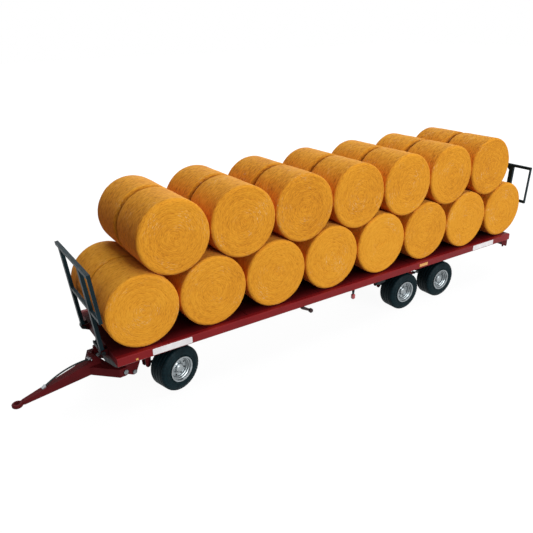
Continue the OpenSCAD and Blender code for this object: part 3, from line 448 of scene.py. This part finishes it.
# Tyres: wide, low farm-trailer tyres moulded in one soft black compound. Four grooves run around the
# tread, small slots cut its shoulders, and rings stand out on the sidewall next to the rim and below the
# shoulder.
TYRE_COLUMNS = 288
TYRE_WIDTH, TYRE_SEAT = 16 * MM, 8.5 * MM     # over the sidewalls, and the radius of its seat on the rim
BEAD_HIGH = 1.05 * MM                         # the bead, from the seat to the foot of the sidewall
SHOULDER_HIGH = 2.4 * MM                      # from the top of the sidewall to the full radius
SHOULDER_IN, SHOULDER_UP = 1.9 * MM, 2.35 * MM   # half axes of the shoulder's ellipse
GROOVES_AT = (-4.3, -1.45, 1.45, 4.3)         # across the tread from its middle, in mm
GROOVE_HALF_MM, GROOVE_DEPTH_MM = 0.42, 0.42
SLOTS, SLOT_DEPTH_MM = 36, 0.3                # around each shoulder
TREAD_BAND = 1.6 * MM                         # grooves and slots are cut only this near the full radius
SIDE_RINGS = ((0.12, 0.1, 0.28), (0.5, 0.035, 0.14), (0.8, 0.05, 0.2))   # share up the side, half width, mm proud
MOULD_RING_TURN = 14.0                        # radians a mm: fine moulding rings, one each 0.45 mm
STEER = np.radians(15)                        # how far the dolly is stored steered to the left


def grid_mesh(name, points, columns, attributes, caps=()):
    """A mesh over rows of points that close around in columns; each cap is (row, point) and closes an end
    in a fan. attributes are numbers or vectors on the points; a cap's own point takes the last value."""
    rows = len(points) // columns
    i, j = np.meshgrid(np.arange(rows - 1), np.arange(columns), indexing="ij")
    k = (j + 1) % columns
    quads = np.stack([i * columns + j, (i + 1) * columns + j, (i + 1) * columns + k, i * columns + k], -1)
    corners, sizes = [quads.reshape(-1)], [np.full(quads.shape[0] * quads.shape[1], 4)]
    points = np.concatenate([points] + [np.array([point]) for row, point in caps])
    for n, (row, point) in enumerate(caps):
        ring = row * columns + np.arange(columns)
        after = row * columns + (np.arange(columns) + 1) % columns
        pole = np.full(columns, rows * columns + n)
        corners.append(np.stack([pole, after, ring] if row else [pole, ring, after], -1).reshape(-1))
        sizes.append(np.full(columns, 3))
    corners, sizes = np.concatenate(corners).astype(np.int32), np.concatenate(sizes)
    mesh = bpy.data.meshes.new(name)
    mesh.vertices.add(len(points))
    mesh.vertices.foreach_set("co", points.astype(np.float32).reshape(-1))
    mesh.loops.add(len(corners))
    mesh.loops.foreach_set("vertex_index", corners)
    mesh.polygons.add(len(sizes))
    mesh.polygons.foreach_set("loop_start", (np.cumsum(sizes) - sizes).astype(np.int32))
    mesh.update(calc_edges=True)
    mesh.polygons.foreach_set("use_smooth", np.ones(len(sizes), bool))
    for key, values in attributes.items():
        vector = values.ndim == 2
        filler = np.repeat(values[-1:], len(points) - len(values), 0)
        layer = mesh.attributes.new(key, "FLOAT_VECTOR" if vector else "FLOAT", "POINT")
        layer.data.foreach_set("vector" if vector else "value",
                               np.concatenate([values, filler]).astype(np.float32).reshape(-1))
    made = bpy.data.objects.new(name, mesh)
    scene.collection.objects.link(made)
    return made


def tyre_outline(radius):
    """Half of a tyre's section, from the bead at the seat to the middle of the tread: (distance in from
    the side face, radius). The sidewall bellies as a square and a cube of the share up it, less three
    raised cosines, the shoulder is a quarter of an ellipse, and the tread is straight."""
    up = np.linspace(0, 1, 30)
    foot, top = TYRE_SEAT + BEAD_HIGH, radius - SHOULDER_HIGH
    belly = 0.55 * MM * (1 - up) ** 2 + 0.5 * MM * up ** 3
    ring = np.zeros_like(up)
    for place, wide, tall in SIDE_RINGS:
        ring += tall * MM * np.clip(0.5 + 0.5 * np.cos(np.pi * np.clip((up - place) / wide, -1, 1)), 0, 1)
    side = np.stack([0.3 * MM + belly - ring, foot + up * (top - foot)], -1)
    turn = np.linspace(0, np.pi / 2, 9)[1:]
    shoulder = np.stack([0.8 * MM + SHOULDER_IN * (1 - np.cos(turn)), top + SHOULDER_UP * np.sin(turn)], -1)
    w = np.linspace(2.9 * MM, TYRE_WIDTH / 2, 34)
    tread = np.stack([w, np.full_like(w, radius - 0.03 * MM)], -1)
    bead = np.array([[1.2 * MM, TYRE_SEAT + 0.05 * MM], [1.2 * MM, TYRE_SEAT + 0.55 * MM],
                     [0.95 * MM, TYRE_SEAT + 0.85 * MM]])
    return np.concatenate([bead, side, shoulder, tread])


def tyre_piece(name, axis_turn):
    """One tyre on its own axle line: the half outline, mirrored and turned about the axle. A point of the
    tread sinks by the deeper of a groove, a trapezium in the distance across, and a slot, a trapezium in
    the angle."""
    low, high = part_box(name)
    centre = (np.array(low) + np.array(high)) / 2
    radius = (high[2] - low[2]) / 2
    half = tyre_outline(radius)
    whole = np.concatenate([half, np.stack([TYRE_WIDTH - half[-2::-1, 0], half[-2::-1, 1]], -1)])
    angle = np.linspace(0, 2 * np.pi, TYRE_COLUMNS, endpoint=False)
    W = np.repeat(whole[:, :1], TYRE_COLUMNS, 1)
    R = np.repeat(whole[:, 1:], TYRE_COLUMNS, 1)
    A = np.repeat(angle[None], len(whole), 0)
    across = (W - TYRE_WIDTH / 2) / MM
    groove = np.zeros_like(W)
    for place in GROOVES_AT:
        groove = np.maximum(groove, np.clip((GROOVE_HALF_MM - np.abs(across - place)) / 0.2, 0, 1))
    slot_phase = np.mod(A * SLOTS / (2 * np.pi) + 0.08 * across, 1)
    slots = np.clip((0.12 - np.abs(slot_phase - 0.5)) / 0.08, 0, 1) * np.clip(np.abs(across) - 4.9, 0, 1)
    depth = np.maximum(GROOVE_DEPTH_MM * groove, SLOT_DEPTH_MM * slots) * MM * (R > radius - TREAD_BAND)
    R = R - depth
    local = np.stack([R * np.cos(A), (W - TYRE_WIDTH / 2), R * np.sin(A)], -1).reshape(-1, 3)
    c, s = np.cos(axis_turn), np.sin(axis_turn)
    points = np.stack([local[:, 0] * c - local[:, 1] * s, local[:, 0] * s + local[:, 1] * c,
                       local[:, 2]], -1) + centre
    # hollow carries painted shade into the grooves and slots
    hollow = (depth / (GROOVE_DEPTH_MM * MM)).reshape(-1)
    tyre = grid_mesh(name + "_rubber", points, TYRE_COLUMNS, {"hollow": hollow, "roll": local / MM})
    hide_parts(name)
    return tyre


def tyre_rubber():
    """Soft black rubber with a low sheen, darkened in its grooves by painted shade. Attribute roll is (x,
    across, z) in mm about the axle; the moulding rings are the sine of MOULD_RING_TURN times the radius."""
    material, tree, shader = surface("black_tyre_rubber", "#06161B", 0.5, Specular_IOR_Level=0.07)
    hollow = node(tree, "ShaderNodeAttribute", {"attribute_name": "hollow"}).outputs["Fac"]
    roll = node(tree, "ShaderNodeAttribute", {"attribute_name": "roll"}).outputs["Vector"]
    clouds = node(tree, "ShaderNodeTexNoise", Vector=roll, Scale=0.35, Detail=4.0).outputs["Fac"]
    # painted shade: darker where hollow is deep
    shade = node(tree, "ShaderNodeMath", {"operation": "MULTIPLY_ADD"}, _0=hollow, _1=-0.4, _2=clouds)
    tree.links.new(ramp(tree, shade.outputs[0], (0.1, "#030C0F"), (0.4, "#05161B"), (0.7, "#0A2025")),
                   shader.inputs["Base Color"])
    tree.links.new(spread(tree, clouds, 0.56, 0.42), shader.inputs["Roughness"])
    flat = node(tree, "ShaderNodeVectorMath", {"operation": "MULTIPLY"}, _0=roll, _1=(1, 0, 1))
    radius = node(tree, "ShaderNodeVectorMath", {"operation": "LENGTH"}, _0=flat.outputs[0])
    rings = node(tree, "ShaderNodeMath", {"operation": "MULTIPLY"}, _0=radius.outputs["Value"],
                 _1=MOULD_RING_TURN)
    rings = node(tree, "ShaderNodeMath", {"operation": "SINE"}, _0=rings.outputs[0])
    grain = node(tree, "ShaderNodeTexNoise", Vector=roll, Scale=3.0, Detail=2.0).outputs["Fac"]
    height = node(tree, "ShaderNodeMath", {"operation": "MULTIPLY_ADD"}, _0=rings.outputs[0], _1=0.12, _2=grain)
    roughen(tree, shader, height.outputs[0], 0.25, 0.00006)
    return material


rubber = tyre_rubber()
for axle, axis_turn in (("front", STEER), ("middle", 0.0), ("rear", 0.0)):
    for side_name in ("left", "right"):
        tyre = tyre_piece(f"tyre_{axle}_{side_name}", axis_turn)
        tyre.data.materials.append(rubber)
        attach(tyre, f"wheel_{axle}_{side_name}")


# Shade filler: a black sheet, shaped as a flap, behind the drawbar's pivot, put where only shade lies so
# that the gap under the deck's front beam shows dark: it is painted shade. It hangs on the rear face of the
# dolly's front cross member, is ribbed, and bows back at its foot.
FLAP_BACK = 30.4 * MM    # rear face of the cross member, ahead of the kingpin along the dolly
FLAP_TOP, FLAP_FOOT, FLAP_HALF, FLAP_THICK = 29.5 * MM, 17.0 * MM, 11.2 * MM, 0.7 * MM
FLAP_ROUND = 3.0 * MM    # of its two lower corners
FLAP_BOW, FLAP_RIB = 1.2 * MM, 0.15 * MM
FLAP_ACROSS = 61         # points across each face
kingpin_low, kingpin_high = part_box("kingpin_nut")
kingpin = (np.array(kingpin_low) + np.array(kingpin_high)) / 2


def flap_points():
    """Rows down the flap, each a closed section: half width narrows as a circle over the lowest
    FLAP_ROUND, five ribs stand proud of the front as a squared cosine, and the foot bows back with the
    square of its drop."""
    across = np.linspace(-1, 1, FLAP_ACROSS)
    drop = np.concatenate([np.linspace(0, 0.76, 16), 1 - 0.24 * np.cos(np.linspace(0, np.pi / 2, 9))[1:]])[:, None]
    z = FLAP_TOP - drop * (FLAP_TOP - FLAP_FOOT)
    corner = np.maximum(0.0, FLAP_ROUND - (z - FLAP_FOOT))
    half = FLAP_HALF - FLAP_ROUND + np.sqrt(np.maximum(FLAP_ROUND ** 2 - corner ** 2, (0.2 * MM) ** 2))
    back = FLAP_BACK - FLAP_BOW * drop ** 2
    rib = FLAP_RIB * np.cos(2.5 * np.pi * across) ** 2 * (drop > 0.45)
    x = np.concatenate([back + rib, back - FLAP_THICK + 0 * across], 1)
    y = np.concatenate([half * across, -half * across], 1)
    c, s = np.cos(STEER), np.sin(STEER)
    return np.stack([kingpin[0] + x * c - y * s, kingpin[1] + x * s + y * c, z + 0 * x], -1).reshape(-1, 3)


flap_grid = flap_points()
flap_columns = 2 * FLAP_ACROSS
# the black sheet stands in for shade under the front beam: painted shade
flap = grid_mesh("shade_filler_sheet", flap_grid, flap_columns, {},
                 ((0, flap_grid[:flap_columns].mean(0)),
                  (len(flap_grid) // flap_columns - 1, flap_grid[-flap_columns:].mean(0))))
flap.data.materials.append(moulded("black_shade_filler_sheet", "#0C1214", "#171E20", 0.55, 0.35))
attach(flap, "dolly")


# Bales: dry stalks rolled up like a carpet and pressed. The layers show as fine rings in the flat faces,
# the fibres run around the roll, and handling has left soft dents, rounded edges and pale flecks, so no
# two look the same.
BALE_COLUMNS = 200          # points around a bale
BALE_STEP = 0.8 * MM        # spacing of the points along its outline
POLE_GAP, RUN_GAP = 0.6 * MM, 0.3 * MM   # the outline starts this far from a pole, and ends this far from a curve
OUTER_ROUND = 2.3 * MM      # rounding of the edge that faces out
BALES_APART = 0.3 * MM      # between the left and the right bale, as in the CAD
DENT_MM, TUFT_MM, RIPPLE_MM = 0.22, 0.24, 0.12   # deepest sink of each kind
DENTS, TUFTS, FINE_TUFTS = (7, 9 * MM), (23, 1.9 * MM), (61, 1.6 * MM)   # cells around the roll, and their length
WANDER = (9, 7 * MM)        # the same for the slow shift of the ripple
RIPPLE_PITCH = 4.1 * MM     # between two bulging layers on a face
SEAM_REACH = 1.8 * MM       # how far the painted shade of the seam in the middle of the row reaches
LAYER = 1.45                # thickness of one rolled layer in mm, coarser than real so that it shows
FIBRE_CELLS = (0.42, 2.9, 0.42)    # per mm of (x, run, z): a fibre is 2.4 mm long and 0.34 mm wide
STROKE_CELLS = (0.32, 1.0, 0.32)   # a stroke is 3.1 mm long and 1 mm wide
NOISE_ROWS = 512            # length of a table of random heights


def lattice_noise(u, v, around, seed):
    """Smooth noise from -1 to 1: random heights at whole numbers of (u, v), joined by smooth steps; u
    repeats."""
    heights = np.random.default_rng(seed).uniform(-1, 1, (around, NOISE_ROWS))
    u0, v0 = np.floor(u).astype(int), np.floor(v).astype(int)
    fu, fv = u - u0, v - v0
    fu, fv = fu * fu * (3 - 2 * fu), fv * fv * (3 - 2 * fv)
    near, far = u0 % around, (u0 + 1) % around
    low, high = v0 % NOISE_ROWS, (v0 + 1) % NOISE_ROWS
    return ((heights[near, low] * (1 - fu) + heights[far, low] * fu) * (1 - fv)
            + (heights[near, high] * (1 - fu) + heights[far, high] * fu) * fv)


def bale_outline(radius, length, round_low, round_high):
    """The rolled outline from the middle of one face to the middle of the other, as (place along the axis,
    radius): two flat faces, two quarter circles and the straight barrel between them."""
    turn = np.linspace(0, np.pi / 2, 7)
    low_face = np.arange(POLE_GAP, radius - round_low - RUN_GAP, BALE_STEP)
    high_face = np.arange(POLE_GAP, radius - round_high - RUN_GAP, BALE_STEP)[::-1]
    barrel = np.arange(round_low + 0.5 * MM, length - round_high - RUN_GAP, BALE_STEP)
    w = np.concatenate([low_face * 0, round_low * (1 - np.cos(turn)), barrel,
                        length - round_high * (1 - np.sin(turn)), high_face * 0 + length])
    r = np.concatenate([low_face, radius - round_low * (1 - np.sin(turn)), barrel * 0 + radius,
                        radius - round_high * (1 - np.cos(turn)), high_face])
    return w, r


def bale_piece(name, centre, radius, length, side, row, seed):
    """One bale as a grid around its outline. A point is sunk below the plain roll by: broad dents, a slow
    ripple of the layers on the faces, and tufts of fibre stretched around the roll. Attribute hollow
    grows with that depth, and with exp(-(d / SEAM_REACH)^2) at a distance d from the seam in the middle
    of the row, and darkens the hay there as painted shade."""
    rng = np.random.default_rng(seed)
    w, r = bale_outline(radius, length, *(row.seam_round, OUTER_ROUND)[::side])
    rise_w, rise_r = np.gradient(w), np.gradient(r)
    size = np.hypot(rise_w, rise_r)
    run, normal_w, normal_r = np.cumsum(size), -rise_r / size, rise_w / size
    angle = np.linspace(0, 2 * np.pi, BALE_COLUMNS, endpoint=False) + rng.uniform(0, 2 * np.pi)
    A, R = np.meshgrid(angle, r)
    W, S, NW, NR = (np.repeat(each[:, None], BALE_COLUMNS, 1) for each in (w, run, normal_w, normal_r))
    turns = A / (2 * np.pi)
    face = np.clip(np.abs(NW) * 2.0 - 0.3, 0, 1)

    def noise(cells, number):
        around, cell_length = cells
        return lattice_noise(turns * around, S / cell_length, around, seed + number)

    dents, wander = noise(DENTS, 1), noise(WANDER, 4)
    tufts = noise(TUFTS, 2) * 0.6 + noise(FINE_TUFTS, 3) * 0.4
    ripple = 0.5 + 0.5 * np.cos(2 * np.pi * (R / RIPPLE_PITCH - turns + 0.5 * wander))
    cut = (DENT_MM * (0.5 - 0.5 * dents) + TUFT_MM * (0.5 - 0.5 * tufts) + RIPPLE_MM * ripple * face) * MM
    # painted shade in the seam in the middle of the row
    seam = np.exp(-((W if side > 0 else length - W) / SEAM_REACH) ** 2) * row.seam_shade
    W, R = W - NW * cut, np.maximum(R - NR * cut, 0)
    local = np.stack([R * np.cos(A), W, R * np.sin(A)], -1).reshape(-1, 3)
    shift = np.array(centre) - np.array([0, length / 2, 0])
    roll = np.stack([R * np.cos(A), S, R * np.sin(A)], -1).reshape(-1, 3) / MM
    ends = ((0, shift + [0, W[0].mean(), 0]), (len(w) - 1, shift + [0, W[-1].mean(), 0]))
    # each bale's own tone, less its row's painted shade
    tone = np.full(len(local), rng.uniform(0, 1) - row.shade)
    deepest = (DENT_MM + TUFT_MM + RIPPLE_MM) * MM
    return grid_mesh(name, local + shift, BALE_COLUMNS,
                     {"roll": roll + seed * 7.0 * np.array([0, 1, 0]), "face": face.reshape(-1),
                      "hollow": (cut / deepest + seam).reshape(-1), "tone": tone}, ends)


def hay_material():
    """Dry golden fibres, dull and a little furry. The attribute roll is (x, run, z) in mm about the
    bale's axis. Fibres are noise drawn out around the roll, and strokes are coarser ones on the barrel.
    Rings are a spiral on the flat faces: the sine of 2 pi times radius / LAYER, plus the angle and a slow
    wander, broken by patches. The shade is darker in rings and by each bale's own tone, and painted shade
    darkens the hollows and the upper row; flecks are pale fibres in a few areas, and painted shade turns
    the barrel redder towards the floor."""
    material, tree, shader = surface("rolled_dry_hay", "#DD962E", 0.9, Sheen_Weight=0.03, Sheen_Roughness=0.5,
                                     Specular_IOR_Level=0.08)

    def value(name, kind="Fac"):
        return node(tree, "ShaderNodeAttribute", {"attribute_name": name}).outputs[kind]

    def maths(operation, a, b=0.0, c=0.0):
        return node(tree, "ShaderNodeMath", {"operation": operation}, _0=a, _1=b, _2=c).outputs[0]

    def stretched(vector, factors):
        return node(tree, "ShaderNodeVectorMath", {"operation": "MULTIPLY"}, _0=vector, _1=factors).outputs[0]

    def noise(vector, scale, detail, roughness=0.5):
        return node(tree, "ShaderNodeTexNoise", Vector=vector, Scale=scale, Detail=detail,
                    Roughness=roughness).outputs["Fac"]

    def ease(factor, start, stop, full):
        return node(tree, "ShaderNodeMapRange", _0=factor, _1=start, _2=stop, _3=0.0, _4=full).outputs[0]

    roll, face = value("roll", "Vector"), value("face")
    parts = node(tree, "ShaderNodeSeparateXYZ", Vector=roll)
    radius = node(tree, "ShaderNodeVectorMath", {"operation": "LENGTH"},
                  _0=stretched(roll, (1, 0, 1))).outputs["Value"]
    angle = maths("ARCTAN2", parts.outputs["Z"], parts.outputs["X"])
    wander = noise(roll, 0.16, 3.0)
    turns = maths("MULTIPLY_ADD", radius, 2 * np.pi / LAYER, maths("MULTIPLY_ADD", wander, 26.0, angle))
    layer = maths("MULTIPLY_ADD", maths("SINE", turns), 0.5, 0.5)
    drawn = stretched(roll, FIBRE_CELLS)
    fibres = noise(drawn, 1.0, 4.0, 0.65)
    breaks = spread(tree, noise(roll, 0.55, 2.0), 0.15, 1.0)
    rings = maths("MULTIPLY", maths("MULTIPLY", layer, face), breaks)
    strokes = noise(stretched(roll, STROKE_CELLS), 1.0, 3.0)
    barrel = maths("SUBTRACT", 1.0, face)
    shade = maths("MULTIPLY_ADD", fibres, 0.95, 0.05)
    shade = maths("MULTIPLY_ADD", maths("MULTIPLY", maths("SUBTRACT", strokes, 0.5), barrel), 1.1, shade)
    # rings are the layers' pattern; hollow darkens as painted shade in dents and the seam; tone is each bale's own
    # tone with its row's painted shade
    for darkening, amount in ((rings, -0.15), (value("hollow"), -0.22), (value("tone"), 0.08)):
        shade = maths("MULTIPLY_ADD", darkening, amount, shade)
    colour = ramp(tree, shade, (0.0, "#955014"), (0.2, "#C47B22"), (0.4, "#E0972A"), (0.7, "#EFAC3A"))
    flecks, areas = noise(drawn, 0.9, 2.0), noise(roll, 0.06, 1.0)
    pale = maths("MULTIPLY", ease(flecks, 0.6, 0.68, 0.55), ease(areas, 0.55, 0.68, 1.0))
    mixed = node(tree, "ShaderNodeMix", {"data_type": "RGBA"}, _0=pale, _6=colour, _7=linear("#EAD9AC"))
    # painted shade: the barrel is tinted redder towards its underside
    low_side = ease(maths("DIVIDE", parts.outputs["Z"], radius), 0.95, 0.1, 1.0)
    red = node(tree, "ShaderNodeMix", {"data_type": "RGBA", "blend_type": "MULTIPLY"},
               _0=maths("MULTIPLY", low_side, barrel), _6=mixed.outputs[2], _7=linear("#FFD6C6"))
    tree.links.new(red.outputs[2], shader.inputs["Base Color"])
    height = maths("MULTIPLY_ADD", rings, -0.6, fibres)
    height = maths("MULTIPLY_ADD", maths("MULTIPLY", strokes, barrel), 1.2, height)
    roughen(tree, shader, height, 0.45, 0.00025)
    return material


hay = hay_material()
# seam_shade is the painted shade in the seam, and shade lowers the tone of a whole row: painted shade that darkens
# the upper row
BaleRow = namedtuple("BaleRow", "body names seam_round seam_shade shade")
BALE_ROWS = (BaleRow("lower_load", [f"lower_bales_{i}" for i in range(1, 9)], 1.6 * MM, 0.4, 0.0),
             BaleRow("upper_load", ["upper_bales_1_2", "upper_bales_3_4", "upper_bales_5_6", "upper_bales_7"],
                     4.0 * MM, 1.25, 0.9))
bale_seed = 11
for row in BALE_ROWS:
    for name in row.names:
        low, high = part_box(name)
        radius = (high[2] - low[2]) / 2
        length = (high[1] - low[1] - BALES_APART) / 2
        bales_along = 2 if high[0] - low[0] > 3 * radius else 1
        for place in range(bales_along):
            for side_name, side in (("left", 1), ("right", -1)):
                centre = (high[0] - radius if place == 0 else low[0] + radius,
                          side * (BALES_APART + length) / 2, (low[2] + high[2]) / 2)
                bale = bale_piece(f"{name}_{'ab'[place]}_{side_name}", centre, radius, length, side, row,
                                  bale_seed)
                bale.data.materials.append(hay)
                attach(bale, row.body)
                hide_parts(name)
                bale_seed += 10
